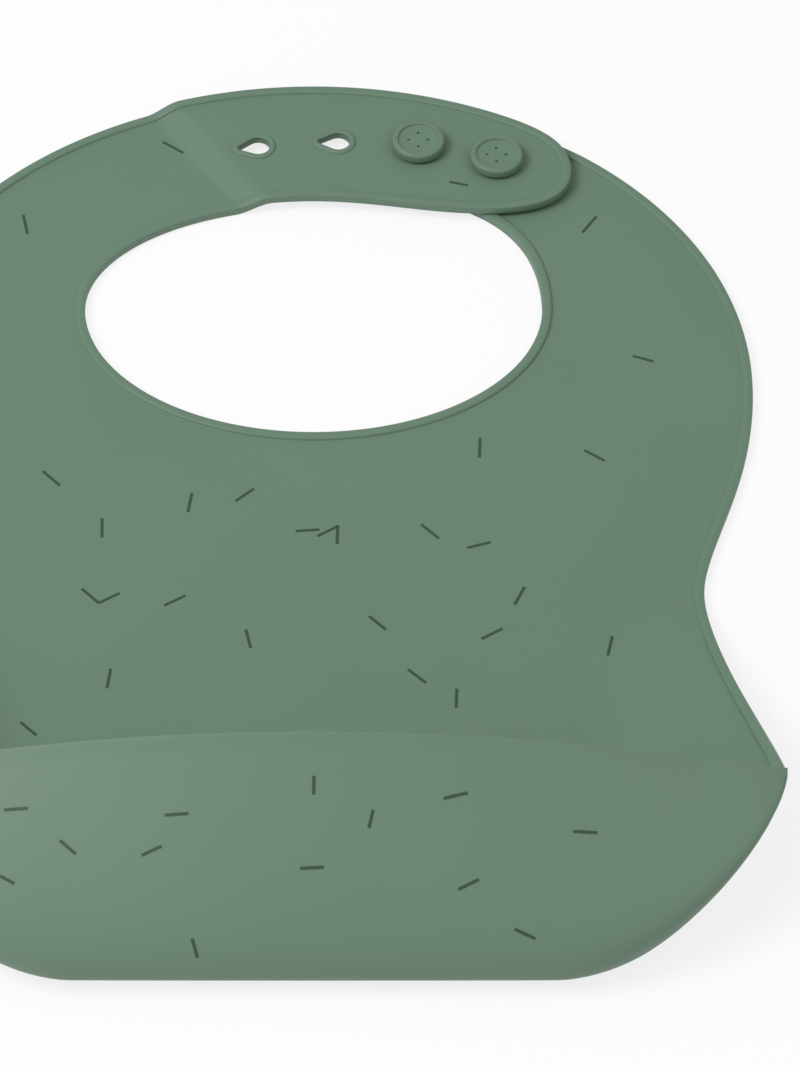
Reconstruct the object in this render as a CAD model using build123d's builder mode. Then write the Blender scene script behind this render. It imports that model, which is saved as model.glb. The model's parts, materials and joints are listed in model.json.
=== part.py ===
from build123d import *
import math
import os

os.makedirs("parts", exist_ok=True)

# Silicone bib lying on its back: X across the bib, +Y towards the collar, +Z up through the front.
# All sizes in millimetres. The origin is under the middle of the bib, on the surface it lies on.
# The real bib is one moulding; each zone of it is its own solid, cut where the moulding flexes.

# Sheet and rolled edge
sheet = 1.8
bead_width = 2.8
bead_height = 2.6
bead_round = 0.7

# Outline of the bib; a handle is how far a curve runs straight before it bends away
bib_length = 301.0
shoulder_half_width = 116.0
shoulder_rise = 106.3
shoulder_handle = 38.0
waist_drop = 183.0
waist_half_width = 98.7
waist_handle = 18.0
corner_half_width = 111.6
corner_handle = 15.0
corner_flare = 1.6

# Neck opening
neck_half_width = 61.4
neck_rise = 38.0
neck_drop = 45.6
collar_width = 43.4

# Crumb pocket
pocket_reach = 43.5
rim_height = 45.0
corner_height = 29.0
corner_reach = 54.6
corner_round = 1.8
corner_full = 0.67
corner_power = 1.6
gusset_power = 1.2
gusset_stations = 6
front_stations = 2
corner_stations = 9
nose_stations = 3
corner_hollow = 5.1
corner_blunt = 1.6
rim_stop = 6.6
least_room = 0.15
crease_half_width = 77.0
fold_height = 8.0
fold_reach = 12.0
fold_flex = 2.0
front_half_width = 56.0
front_slit = 0.4
wall_bulge = 10.0
rim_lean = 12.0
rim_dip = 9.0

# Collar: keyhole strap from the left lapped over the stud strap from the right
shoulder_flex = 2.5
strap_flex = 3.0
peel_angle = 125.0
stud_strap_angle = 35.0
lap_gap = 0.3
ramp_length = 9.5
strap_tip_x = 71.0
strap_tip_y = 120.0
strap_heel_x = 48.0
strap_heel_drop = 4.8
strap_tip_angle = 64.0
stud_strap_leave = 49.0
cheek_x = 51.0
cheek_y = 99.0

# Closure: two studs in two of four keyholes, on one arc
arc_radius = 130.0
arc_offset = 6.0
stud_pitch = 22.3
inner_stud_angle = 10.2
keyhole_first = -2
keyhole_count = 4
keyhole_radius = 3.2
keyhole_tail = 4.7
keyhole_tail_radius = 0.9
lip_width = 1.7
lip_height = 0.5
stud_count = 2
stud_end_radius = 16.0
stem_radius = 2.3
head_gap = 0.3
head_radius = 7.3
head_height = 2.6
head_round = 0.9
dish_radius = 5.6
dish_depth = 0.5
dimple_count = 4
dimple_radius = 0.5
dimple_circle = 2.2
dimple_depth = 0.7

# Places worked out from the sizes above
top_y = bib_length / 2
bottom_y = -bib_length / 2
shoulder_y = top_y - shoulder_rise
waist_y = top_y - waist_drop
mouth_y = bottom_y + pocket_reach
neck_top_y = top_y - collar_width
neck_y = neck_top_y - neck_rise
arc_y = neck_top_y + collar_width / 2 - arc_radius
lap_lift = bead_height + lap_gap
lip_top = lap_lift + sheet + lip_height
rim_drop = rim_height - corner_height
apron_top_y = neck_y - shoulder_flex
rim_radius = (corner_half_width**2 + rim_drop**2) / (2 * rim_drop)
rim_centre_z = rim_height - rim_radius
hollow_end = corner_half_width - corner_hollow
nose_end = corner_half_width - corner_blunt
far = 2 * bib_length

# Hinge planes face along the collar, towards the end of each strap
neck_centre = (0, neck_y, 0)
peel_bearing = math.radians(peel_angle)
stud_bearing = math.radians(stud_strap_angle)
peel_way = (math.sin(peel_bearing), -math.cos(peel_bearing), 0)
stud_way = (-math.sin(stud_bearing), math.cos(stud_bearing), 0)
shoulder_plane = Plane(origin=neck_centre, z_dir=(0, 1, 0))
peel_plane = Plane(origin=neck_centre, z_dir=peel_way)
stud_plane = Plane(origin=neck_centre, z_dir=stud_way)


def shoulder_curve(inset):
    # Right-hand edge from the widest point of the shoulder down to the waist
    wide, narrow = shoulder_half_width - inset, waist_half_width - inset
    return Bezier(
        (wide, shoulder_y), (wide, shoulder_y - shoulder_handle), (narrow, waist_y + waist_handle), (narrow, waist_y)
    )


def gusset_curve(inset):
    # Right-hand edge in plan from the waist down to the pocket corner
    narrow, wide = waist_half_width - inset, corner_half_width - inset
    return Bezier(
        (narrow, waist_y), (narrow, waist_y - waist_handle), (wide - corner_flare, mouth_y + corner_handle), (wide, mouth_y)
    )


def outer_arc(inset, start, size):
    # Part of the half ellipse round the shoulders and collar
    return EllipticalCenterArc(
        (0, shoulder_y), shoulder_half_width - inset, shoulder_rise - inset, start, arc_size=size
    )


def upper_neck_arc(inset, start, size):
    return EllipticalCenterArc((0, neck_y), neck_half_width + inset, neck_rise + inset, start, arc_size=size)


def lower_neck_arc(inset, start, size):
    return EllipticalCenterArc((0, neck_y), neck_half_width + inset, neck_drop + inset, start, arc_size=size)


def bib_plan(inset):
    # Outline of the whole bib down to the pocket mouth, drawn in by inset at the sides
    with BuildSketch() as plan:
        with BuildLine():
            outer_arc(inset, 0, 90)
            shoulder_curve(inset)
            gusset_curve(inset)
            Line((corner_half_width - inset, mouth_y), (0, mouth_y))
            mirror(about=Plane.YZ)
        make_face()
    return plan.sketch


def neck_plan(inset):
    # Neck opening, made larger all round by inset
    with BuildSketch() as plan:
        with BuildLine():
            upper_neck_arc(inset, 0, 180)
            lower_neck_arc(inset, 180, 180)
        make_face()
    return plan.sketch


def keyhole_side_plan(inset):
    # Left shoulder carried on over the top of the collar to the rounded tip of the keyhole strap
    tip = Vector(strap_tip_x - inset, strap_tip_y)
    heel = Vector(strap_heel_x, neck_top_y - strap_heel_drop + inset)
    with BuildSketch() as plan:
        with BuildLine():
            outer = outer_arc(inset, strap_tip_angle, 180 - strap_tip_angle)
            upper_neck = upper_neck_arc(inset, 90, 90)
            lower_neck = lower_neck_arc(inset, 180, 30)
            Spline(outer @ 0, tip, heel, tangents=(-(outer % 0), (-1, 0)))
            Spline(heel, upper_neck @ 0, tangents=((-1, 0), (-1, 0)))
            Line(lower_neck @ 1, outer @ 1)
        make_face()
    return plan.sketch


def stud_side_plan(inset):
    # Right shoulder carried on under the keyhole strap to a rounded end about the inner stud
    stud = stud_place(0).position
    out = (stud - Vector(arc_offset, arc_y)).normalized()
    along = Vector(-out.Y, out.X)
    radius = stud_end_radius - inset
    cheek = Vector(cheek_x, cheek_y) + Vector(1, 1).normalized() * inset
    with BuildSketch() as plan:
        with BuildLine():
            outer = outer_arc(inset, 0, stud_strap_leave)
            Spline(outer @ 1, stud + out * radius, tangents=(outer % 1, along))
            ThreePointArc(stud + out * radius, stud + along * radius, stud - out * radius)
            lower_neck = lower_neck_arc(inset, -30, 30)
            Spline(stud - out * radius, cheek, lower_neck @ 1, tangents=(-along, (0, -1)))
            Line(lower_neck @ 0, outer @ 0)
        make_face()
    return plan.sketch


def stud_place(index):
    # Centre of a keyhole on the closure arc, counted to the right from the inner stud's
    angle = inner_stud_angle + index * math.degrees(stud_pitch / arc_radius)
    bearing = math.radians(90 - angle)
    x = arc_offset + arc_radius * math.cos(bearing)
    y = arc_y + arc_radius * math.sin(bearing)
    return Location((x, y, 0), (0, 0, -angle))


def keyhole_plan(grow):
    # One teardrop keyhole with its tail pointing back along the strap
    with BuildSketch() as plan:
        Circle(keyhole_radius + grow)
        with Locations((-keyhole_tail, 0)):
            Circle(keyhole_tail_radius + grow)
        make_hull()
    return plan.sketch


def rolled_edge(outer_face, inner_face, low_y, high_y):
    # Raised rim between two outlines from low_y to high_y, rounded along its top
    with BuildPart() as rim:
        with BuildSketch():
            add(outer_face)
            add(inner_face, mode=Mode.SUBTRACT)
            with Locations((0, low_y)):
                Rectangle(far, high_y - low_y, align=(Align.CENTER, Align.MIN), mode=Mode.INTERSECT)
        extrude(amount=bead_height)
        top_edges = rim.edges().group_by(Axis.Z)[-1]
        fillet(top_edges.filter_by(lambda edge: low_y < edge.center().Y < high_y), radius=bead_round)
    return rim.part


def flat_sheet(face):
    with BuildPart() as flat:
        add(face)
        extrude(amount=sheet)
    return flat.part


def lapped_band(thickness):
    # Sheet that leaves the surface behind the peel hinge and climbs over the stud strap
    ramp_end = strap_flex + ramp_length
    ramp_middle = strap_flex + ramp_length / 2
    side_view = Plane(origin=neck_centre, x_dir=peel_way, z_dir=(peel_way[1], -peel_way[0], 0))
    with BuildPart() as band:
        with BuildSketch(side_view):
            with BuildLine():
                for z in (0, thickness):
                    Bezier((strap_flex, z), (ramp_middle, z), (ramp_middle, z + lap_lift), (ramp_end, z + lap_lift))
                    Line((ramp_end, z + lap_lift), (far, z + lap_lift))
                Line((strap_flex, 0), (strap_flex, thickness))
                Line((far, lap_lift), (far, lap_lift + thickness))
            make_face()
        extrude(amount=far, both=True)
    return band.part


keyhole_side_sheet = flat_sheet(keyhole_side_plan(bead_width))
stud_side_sheet = flat_sheet(stud_side_plan(bead_width))
keyhole_side_edge = rolled_edge(keyhole_side_plan(0), keyhole_side_plan(bead_width), apron_top_y, far)
stud_side_edge = rolled_edge(stud_side_plan(0), stud_side_plan(bead_width), apron_top_y, far)

# Chest panel: the flat sheet from the shoulders to the pocket mouth
with BuildPart() as chest_panel:
    with BuildSketch():
        upper_length = neck_y - shoulder_flex - waist_y
        with Locations((0, waist_y)):
            Rectangle(2 * shoulder_half_width, upper_length, align=(Align.CENTER, Align.MIN))
        with Locations((0, mouth_y)):
            Rectangle(2 * crease_half_width, waist_y - mouth_y, align=(Align.CENTER, Align.MIN))
        add(bib_plan(bead_width), mode=Mode.INTERSECT)
        add(neck_plan(bead_width), mode=Mode.SUBTRACT)
    extrude(amount=sheet)
chest_panel.part.label = "chest_panel"
export_step(chest_panel.part, "parts/chest_panel.step")

neck_bead = rolled_edge(neck_plan(bead_width), neck_plan(0), -far, apron_top_y)
neck_bead.label = "neck_bead"
export_step(neck_bead, "parts/neck_bead.step")

side_beads = rolled_edge(bib_plan(0), bib_plan(bead_width), waist_y, apron_top_y)
for name, keep in (("side_bead_left", Keep.BOTTOM), ("side_bead_right", Keep.TOP)):
    with BuildPart() as side_bead:
        add(side_beads)
        split(bisect_by=Plane.YZ, keep=keep)
    side_bead.part.label = name
    export_step(side_bead.part, f"parts/{name}.step")


# Gussets: side sheets that fold forward along a crease and rise to the pocket corners
with BuildPart() as gusset:
    edge_path = gusset_curve(0)
    for step in range(gusset_stations + 1):
        along = step / gusset_stations
        edge = edge_path @ along
        rise = corner_height * along**gusset_power
        run = edge.X - crease_half_width
        slope = math.atan2(rise, run)
        out = Vector(math.cos(slope), math.sin(slope))
        up = Vector(-math.sin(slope), math.cos(slope))
        tip = Vector(edge.X, rise)
        with BuildSketch(Plane.XZ.offset(-edge.Y)):
            with BuildLine():
                Polyline(
                    (crease_half_width, 0),
                    tip,
                    tip + up * bead_height,
                    tip + up * bead_height - out * bead_width,
                    tip + up * sheet - out * bead_width,
                    (crease_half_width, sheet),
                    close=True,
                )
            make_face()
    loft()
gusset.part.label = "gusset_right"
export_step(gusset.part, "parts/gusset_right.step")
with BuildPart() as gusset_left:
    mirror(gusset.part, about=Plane.YZ)
gusset_left.part.label = "gusset_left"
export_step(gusset_left.part, "parts/gusset_left.step")


# Pocket floor: flat between the gussets, with the rounded fold along the bottom of the bib
with BuildPart() as pocket_floor:
    with BuildSketch(Plane.YZ):
        with BuildLine():
            fold_y = bottom_y + fold_reach
            Line((mouth_y, 0), (fold_y, 0))
            EllipticalCenterArc((fold_y, fold_height), fold_reach, fold_height, 180, arc_size=90)
            Line((bottom_y, fold_height), (bottom_y + sheet, fold_height))
            EllipticalCenterArc(
                (fold_y, fold_height), fold_reach - sheet, fold_height - sheet, 180, arc_size=90
            )
            Polyline((fold_y, sheet), (mouth_y, sheet), (mouth_y, 0))
        make_face()
    extrude(amount=front_half_width, both=True)
pocket_floor.part.label = "pocket_floor"
export_step(pocket_floor.part, "parts/pocket_floor.step")

with BuildPart() as pocket_fold:
    with BuildSketch(Plane.YZ):
        with Locations((bottom_y, fold_height)):
            Rectangle(sheet, fold_flex, align=Align.MIN)
    extrude(amount=front_half_width - front_slit, both=True)
pocket_fold.part.label = "pocket_fold"
export_step(pocket_fold.part, "parts/pocket_fold.step")


def pocket_shape(x):
    # Section of the pocket at x from the middle: how far down it reaches, and its heights
    out = max(0, (x - corner_half_width + corner_reach) / corner_reach)
    fold_y = mouth_y - pocket_reach * (1 - out**corner_round) ** corner_full
    fold_z = fold_height + (corner_height - fold_height) * out**corner_power
    slope = corner_height / (corner_half_width - crease_half_width)
    floor_z = max(0, x - crease_half_width) * slope
    floor_top = floor_z + (sheet * math.hypot(1, slope) if x > crease_half_width else sheet)
    rim_z = rim_centre_z + math.sqrt(rim_radius**2 - x**2)
    return fold_y, fold_z, floor_z, floor_top, rim_z


def front_curves(x):
    # Front wall at x from its flex line up to the rim: outer face, and inner face one sheet in
    fold_y, fold_z, floor_z, floor_top, rim_z = pocket_shape(x)
    deep = (mouth_y - fold_y) / pocket_reach
    tall = (rim_z - fold_z) / (rim_height - fold_height)
    start_z = fold_z + fold_flex * deep
    lean_y = mouth_y - rim_lean * deep
    rim_low = rim_z - sheet * math.hypot(rim_dip, rim_lean) / rim_lean
    room = (rim_low - floor_top) / (rim_z - floor_z)
    low_z = max(start_z, floor_top + least_room * (rim_low - floor_top))
    outer = [(fold_y, start_z), (fold_y, start_z + wall_bulge * tall), (lean_y, rim_z - rim_dip * tall), (mouth_y, rim_z)]
    inner = [
        (fold_y + sheet, low_z),
        (fold_y + sheet, low_z + wall_bulge * tall * room),
        (lean_y, rim_low - rim_dip * tall * room),
        (mouth_y, rim_low),
    ]
    return outer, inner


# Front wall: leans back over the panel and bulges a little, its rim arched from corner to corner
front_end = front_half_width - front_slit
with BuildPart() as pocket_front:
    for step in range(-front_stations, front_stations + 1):
        x = front_end * step / front_stations
        outer, inner = front_curves(abs(x))
        with BuildSketch(Plane.YZ.offset(x)):
            with BuildLine():
                Bezier(*outer)
                Line(outer[-1], inner[-1])
                Bezier(*inner)
                Line(outer[0], inner[0])
            make_face()
    loft()
pocket_front.part.label = "pocket_front"
export_step(pocket_front.part, "parts/pocket_front.step")


def rim_bar(start_x, end_x):
    # Rounded rim along the arched top of the front wall, on the mouth side of it
    start = math.asin(start_x / rim_radius)
    sweep_angle = math.degrees(math.asin(end_x / rim_radius) - start)
    centre = Vector(0, 0, rim_centre_z)
    section = Plane(origin=centre, x_dir=(0, 1, 0), z_dir=(math.cos(start), 0, -math.sin(start)))
    with BuildPart() as bar:
        with BuildSketch(section):
            with Locations((mouth_y, rim_radius)):
                rim = Rectangle(bead_width, bead_height, align=(Align.MIN, Align.MAX))
            fillet(rim.vertices().group_by(Axis.Y)[-1], radius=bead_round)
        revolve(axis=Axis(centre, (0, 1, 0)), revolution_arc=sweep_angle)
    return bar.part


pocket_rim = rim_bar(-front_end, front_end)
pocket_rim.label = "pocket_rim"
export_step(pocket_rim, "parts/pocket_rim.step")


def spaced(first, last, spans):
    return [first + (last - first) * step / spans for step in range(spans + 1)]


# Pocket corners: the floor tilts up with the gusset and closes on the front wall at the tip
with BuildPart() as pocket_corner:
    for x in spaced(front_half_width, hollow_end, corner_stations):
        fold_y, fold_z, floor_z, floor_top, rim_z = pocket_shape(x)
        outer, inner = front_curves(x)
        reach = fold_reach * (mouth_y - fold_y) / pocket_reach
        bend_y = fold_y + reach
        bend_z = floor_top + (inner[0][1] - floor_top) * (fold_height - sheet) / (fold_height + fold_flex - sheet)
        with BuildSketch(Plane.YZ.offset(x)):
            with BuildLine():
                Line((mouth_y, floor_z), (bend_y, floor_z))
                EllipticalCenterArc((bend_y, fold_z), reach, fold_z - floor_z, 180, arc_size=90)
                Line((fold_y, fold_z), outer[0])
                Bezier(*outer)
                Line(outer[-1], inner[-1])
                Bezier(*inner)
                Line(inner[0], (fold_y + sheet, bend_z))
                EllipticalCenterArc((bend_y, bend_z), reach - sheet, bend_z - floor_top, 180, arc_size=90)
                Polyline((bend_y, floor_top), (mouth_y, floor_top), (mouth_y, floor_z))
            make_face()
    loft()
    for x in spaced(hollow_end, nose_end, nose_stations):
        fold_y, fold_z, floor_z, floor_top, rim_z = pocket_shape(x)
        outer, inner = front_curves(x)
        bend_y = fold_y + fold_reach * (mouth_y - fold_y) / pocket_reach
        with BuildSketch(Plane.YZ.offset(x)):
            with BuildLine():
                Line((mouth_y, floor_z), (bend_y, floor_z))
                EllipticalCenterArc((bend_y, fold_z), bend_y - fold_y, fold_z - floor_z, 180, arc_size=90)
                Line((fold_y, fold_z), outer[0])
                Bezier(*outer)
                Line(outer[-1], (mouth_y, floor_z))
            make_face()
    loft()
pocket_corner.part.label = "pocket_corner_right"
export_step(pocket_corner.part, "parts/pocket_corner_right.step")
with BuildPart() as pocket_corner_left:
    mirror(pocket_corner.part, about=Plane.YZ)
pocket_corner_left.part.label = "pocket_corner_left"
export_step(pocket_corner_left.part, "parts/pocket_corner_left.step")

corner_rim = rim_bar(front_half_width, corner_half_width - rim_stop)
corner_rim.label = "corner_rim_right"
export_step(corner_rim, "parts/corner_rim_right.step")
with BuildPart() as corner_rim_left:
    mirror(corner_rim, about=Plane.YZ)
corner_rim_left.part.label = "corner_rim_left"
export_step(corner_rim_left.part, "parts/corner_rim_left.step")


# Shoulders and their flex lines, cut from the outlines of the two sides of the collar
sides = (
    ("left", keyhole_side_sheet, keyhole_side_edge, peel_plane, Keep.BOTTOM),
    ("right", stud_side_sheet, stud_side_edge, stud_plane, Keep.BOTTOM),
)
for side, side_sheet, side_edge, strap_plane, keep in sides:
    with BuildPart() as flex:
        add(side_sheet)
        add(side_edge)
        split(bisect_by=shoulder_plane.offset(-shoulder_flex), keep=Keep.TOP)
        split(bisect_by=shoulder_plane.offset(shoulder_flex), keep=Keep.BOTTOM)
    flex.part.label = f"shoulder_flex_{side}"
    export_step(flex.part, f"parts/shoulder_flex_{side}.step")

    for name, whole in ((f"shoulder_{side}", side_sheet), (f"shoulder_bead_{side}", side_edge)):
        with BuildPart() as piece:
            add(whole)
            split(bisect_by=shoulder_plane.offset(shoulder_flex), keep=Keep.TOP)
            split(bisect_by=strap_plane.offset(-strap_flex), keep=keep)
        piece.part.label = name
        export_step(piece.part, f"parts/{name}.step")


# Flex lines at the roots of the two straps
for name, side_sheet, side_edge, strap_plane in (
    ("keyhole_strap_flex", keyhole_side_sheet, keyhole_side_edge, peel_plane),
    ("stud_strap_flex", stud_side_sheet, stud_side_edge, stud_plane),
):
    with BuildPart() as flex:
        add(side_sheet)
        add(side_edge)
        split(bisect_by=shoulder_plane.offset(shoulder_flex), keep=Keep.TOP)
        split(bisect_by=strap_plane.offset(-strap_flex), keep=Keep.TOP)
        split(bisect_by=strap_plane.offset(strap_flex), keep=Keep.BOTTOM)
    flex.part.label = name
    export_step(flex.part, f"parts/{name}.step")


# Stud strap: lies flat under the keyhole strap
for name, whole in (("stud_strap", stud_side_sheet), ("stud_strap_bead", stud_side_edge)):
    with BuildPart() as stud_strap:
        add(whole)
        split(bisect_by=stud_plane.offset(strap_flex), keep=Keep.TOP)
    stud_strap.part.label = name
    export_step(stud_strap.part, f"parts/{name}.step")


# Keyhole strap: climbs from its root to lie on the stud strap, with four teardrop keyholes
keyholes = [stud_place(keyhole_first + index) for index in range(keyhole_count)]
with BuildPart() as keyhole_strap:
    add(lapped_band(sheet))
    with BuildSketch():
        add(keyhole_side_plan(bead_width))
    extrude(amount=far, mode=Mode.INTERSECT)
    with BuildSketch():
        with Locations(*keyholes):
            add(keyhole_plan(0))
    extrude(amount=far, mode=Mode.SUBTRACT)
keyhole_strap.part.label = "keyhole_strap"
export_step(keyhole_strap.part, "parts/keyhole_strap.step")

with BuildPart() as keyhole_strap_bead:
    add(lapped_band(bead_height))
    with BuildSketch():
        add(keyhole_side_plan(0))
        add(keyhole_side_plan(bead_width), mode=Mode.SUBTRACT)
    extrude(amount=far, mode=Mode.INTERSECT)
keyhole_strap_bead.part.label = "keyhole_strap_bead"
export_step(keyhole_strap_bead.part, "parts/keyhole_strap_bead.step")

with BuildPart() as keyhole_lips:
    with BuildSketch(Plane.XY.offset(lap_lift + sheet)):
        with Locations(*keyholes):
            add(keyhole_plan(lip_width))
            add(keyhole_plan(0), mode=Mode.SUBTRACT)
    extrude(amount=lip_height)
keyhole_lips.part.label = "keyhole_lips"
export_step(keyhole_lips.part, "parts/keyhole_lips.step")


# Button studs: a stem through the keyhole and a dished round head with four dimples
for index, name in enumerate(("inner_stud", "outer_stud")):
    place = stud_place(index)
    head_low = lip_top + head_gap
    head_top = head_low + head_height
    with BuildPart() as stud:
        with BuildSketch(Plane.XY.offset(sheet)):
            with Locations(place):
                Circle(stem_radius)
        extrude(amount=head_low - sheet)
        with BuildSketch(Plane.XY.offset(head_low)):
            with Locations(place):
                Circle(head_radius)
        extrude(amount=head_height)
        fillet(stud.edges().group_by(Axis.Z)[-1], radius=head_round)
        with BuildSketch(Plane.XY.offset(head_top)):
            with Locations(place):
                Circle(dish_radius)
        extrude(amount=-dish_depth, mode=Mode.SUBTRACT)
        with BuildSketch(Plane.XY.offset(head_top - dish_depth)):
            with Locations(place):
                with PolarLocations(dimple_circle, dimple_count, start_angle=45):
                    Circle(dimple_radius)
        extrude(amount=-dimple_depth, mode=Mode.SUBTRACT)
    stud.part.label = name
    export_step(stud.part, f"parts/{name}.step")
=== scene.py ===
import json
import math

import bmesh
import bpy
from mathutils import Vector
from mathutils.bvhtree import BVHTree
from mathutils.kdtree import KDTree
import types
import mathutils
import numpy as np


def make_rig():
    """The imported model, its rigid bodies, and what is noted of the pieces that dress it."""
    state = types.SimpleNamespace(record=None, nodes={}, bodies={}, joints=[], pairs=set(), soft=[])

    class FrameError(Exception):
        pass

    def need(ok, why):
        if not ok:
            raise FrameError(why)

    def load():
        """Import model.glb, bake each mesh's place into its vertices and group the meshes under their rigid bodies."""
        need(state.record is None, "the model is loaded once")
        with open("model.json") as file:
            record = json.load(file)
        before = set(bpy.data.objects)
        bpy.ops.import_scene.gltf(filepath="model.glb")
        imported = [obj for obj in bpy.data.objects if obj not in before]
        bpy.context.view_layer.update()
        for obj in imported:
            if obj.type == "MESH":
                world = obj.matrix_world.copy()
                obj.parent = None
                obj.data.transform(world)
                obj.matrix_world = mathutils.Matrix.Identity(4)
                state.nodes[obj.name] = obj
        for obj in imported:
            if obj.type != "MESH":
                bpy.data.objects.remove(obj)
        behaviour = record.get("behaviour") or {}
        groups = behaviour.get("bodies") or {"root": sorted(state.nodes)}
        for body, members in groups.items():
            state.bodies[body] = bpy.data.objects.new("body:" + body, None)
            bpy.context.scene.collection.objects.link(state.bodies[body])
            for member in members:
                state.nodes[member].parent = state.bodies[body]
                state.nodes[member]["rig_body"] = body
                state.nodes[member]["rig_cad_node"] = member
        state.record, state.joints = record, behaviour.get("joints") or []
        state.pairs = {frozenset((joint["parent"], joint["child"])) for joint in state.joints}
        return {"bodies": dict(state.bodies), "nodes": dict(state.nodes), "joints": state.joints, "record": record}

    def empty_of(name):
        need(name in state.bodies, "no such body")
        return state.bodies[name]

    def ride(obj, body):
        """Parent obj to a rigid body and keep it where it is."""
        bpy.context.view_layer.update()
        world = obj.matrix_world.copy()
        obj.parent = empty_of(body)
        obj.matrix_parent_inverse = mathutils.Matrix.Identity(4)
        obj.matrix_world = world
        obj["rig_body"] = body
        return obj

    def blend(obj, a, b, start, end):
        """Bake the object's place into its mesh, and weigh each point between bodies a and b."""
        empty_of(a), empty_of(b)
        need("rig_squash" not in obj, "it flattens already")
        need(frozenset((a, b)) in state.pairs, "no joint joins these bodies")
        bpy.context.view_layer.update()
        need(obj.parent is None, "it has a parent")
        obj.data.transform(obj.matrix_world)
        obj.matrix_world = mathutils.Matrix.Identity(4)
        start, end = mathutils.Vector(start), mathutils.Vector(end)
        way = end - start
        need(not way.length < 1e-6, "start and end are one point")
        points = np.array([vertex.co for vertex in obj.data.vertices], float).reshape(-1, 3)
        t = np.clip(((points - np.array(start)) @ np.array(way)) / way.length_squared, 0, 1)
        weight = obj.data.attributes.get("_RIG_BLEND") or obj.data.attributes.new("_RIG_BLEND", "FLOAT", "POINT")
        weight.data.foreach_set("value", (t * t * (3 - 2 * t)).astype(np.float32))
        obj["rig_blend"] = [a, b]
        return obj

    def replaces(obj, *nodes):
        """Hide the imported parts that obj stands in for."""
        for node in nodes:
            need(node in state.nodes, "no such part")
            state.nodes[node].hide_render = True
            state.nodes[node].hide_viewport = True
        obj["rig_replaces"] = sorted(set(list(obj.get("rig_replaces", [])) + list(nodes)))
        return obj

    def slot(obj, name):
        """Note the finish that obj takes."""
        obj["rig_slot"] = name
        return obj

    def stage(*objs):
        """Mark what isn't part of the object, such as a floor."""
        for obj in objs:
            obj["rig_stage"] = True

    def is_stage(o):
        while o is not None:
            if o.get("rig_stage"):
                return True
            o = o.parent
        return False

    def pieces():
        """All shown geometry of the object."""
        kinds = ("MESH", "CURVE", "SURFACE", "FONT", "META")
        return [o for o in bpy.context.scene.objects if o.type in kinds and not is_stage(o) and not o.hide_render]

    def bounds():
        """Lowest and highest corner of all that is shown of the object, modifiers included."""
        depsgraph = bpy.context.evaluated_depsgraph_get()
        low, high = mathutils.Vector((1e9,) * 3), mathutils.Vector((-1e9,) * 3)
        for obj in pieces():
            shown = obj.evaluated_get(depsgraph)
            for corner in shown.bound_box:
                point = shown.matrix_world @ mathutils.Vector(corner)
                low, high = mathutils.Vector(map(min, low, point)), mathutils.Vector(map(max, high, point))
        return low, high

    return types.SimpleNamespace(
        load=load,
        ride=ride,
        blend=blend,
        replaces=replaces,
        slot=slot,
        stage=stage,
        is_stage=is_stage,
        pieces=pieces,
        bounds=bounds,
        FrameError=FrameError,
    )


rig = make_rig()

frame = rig.load()
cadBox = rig.bounds()
mm = 0.001

# Sizes of the bib in millimetres, seen from the front with the collar at +Y
bib = {
    "sheet": 1.8,
    "shoulderWidth": 116.0,
    "shoulderY": 44.2,
    "shoulderRise": 106.3,
    "neckWidth": 61.4,
    "neckY": 69.1,
    "neckRise": 38.0,
    "neckDrop": 45.6,
    "waistY": -32.5,
    "cornerWidth": 111.6,
    "mouthY": -107.0,
    "lapLift": 2.9,
    "spacing": 1.6,
}

# Moulded edge of the sheet: how far in from the edge, and how high over the back face
edgeSection = (
    (1.2, 0.0),
    (0.9, 0.0),
    (0.5, 0.0),
    (0.15, 0.12),
    (0.0, 0.45),
    (0.0, 1.95),
    (0.18, 2.4),
    (0.65, 2.6),
    (2.05, 2.6),
    (2.45, 2.48),
    (2.68, 2.15),
    (2.76, 1.9),
    (2.95, 1.8),
    (3.3, 1.8),
    (3.7, 1.8),
)

shoulderEdge = ((116, 44.2), (116, 6.2), (98.7, -14.5), (98.7, -32.5))
gussetEdge = ((98.7, -32.5), (98.7, -50.5), (110.0, -92), (111.6, -107))
strapTipEdge = ((50.85, 139.74), (65.16, 133.35), (70.11, 127.62), (71.0, 120.0))
strapHeelEdge = ((71.0, 120.0), (71.91, 112.16), (68.52, 102.3), (48.0, 102.3))
strapNeckEdge = ((48.0, 102.3), (30.4, 102.3), (17.6, 107.1), (0.0, 107.1))
studTopEdge = ((31.85, 142.49), (49.46, 139.33), (64.54, 133.64), (76.1, 124.43))
studCheekEdge = ((61.4, 69.1), (61.4, 82.18), (57.78, 91.99), (51.0, 99.0))
studNeckEdge = ((51.0, 99.0), (45.1, 105.1), (36.81, 109.09), (26.19, 111.0))


def deselect():
    if bpy.context.object and bpy.context.object.mode != "OBJECT":
        bpy.ops.object.mode_set(mode="OBJECT")
    bpy.ops.object.select_all(action="DESELECT")


def editOnly(piece):
    deselect()
    piece.select_set(True)
    bpy.context.view_layer.objects.active = piece
    bpy.ops.object.mode_set(mode="EDIT")
    bpy.ops.mesh.select_all(action="SELECT")


def applyModifier(piece, kind, **settings):
    deselect()
    piece.select_set(True)
    bpy.context.view_layer.objects.active = piece
    modifier = piece.modifiers.new(kind.title(), kind)
    for key, value in settings.items():
        setattr(modifier, key, value)
    bpy.ops.object.modifier_apply(modifier=modifier.name)


def smoothShade(piece, angle=40):
    deselect()
    piece.select_set(True)
    bpy.context.view_layer.objects.active = piece
    bpy.ops.object.shade_smooth_by_angle(angle=math.radians(angle))


def softStep(value):
    value = min(1, max(0, value))
    return value * value * (3 - 2 * value)


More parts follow.
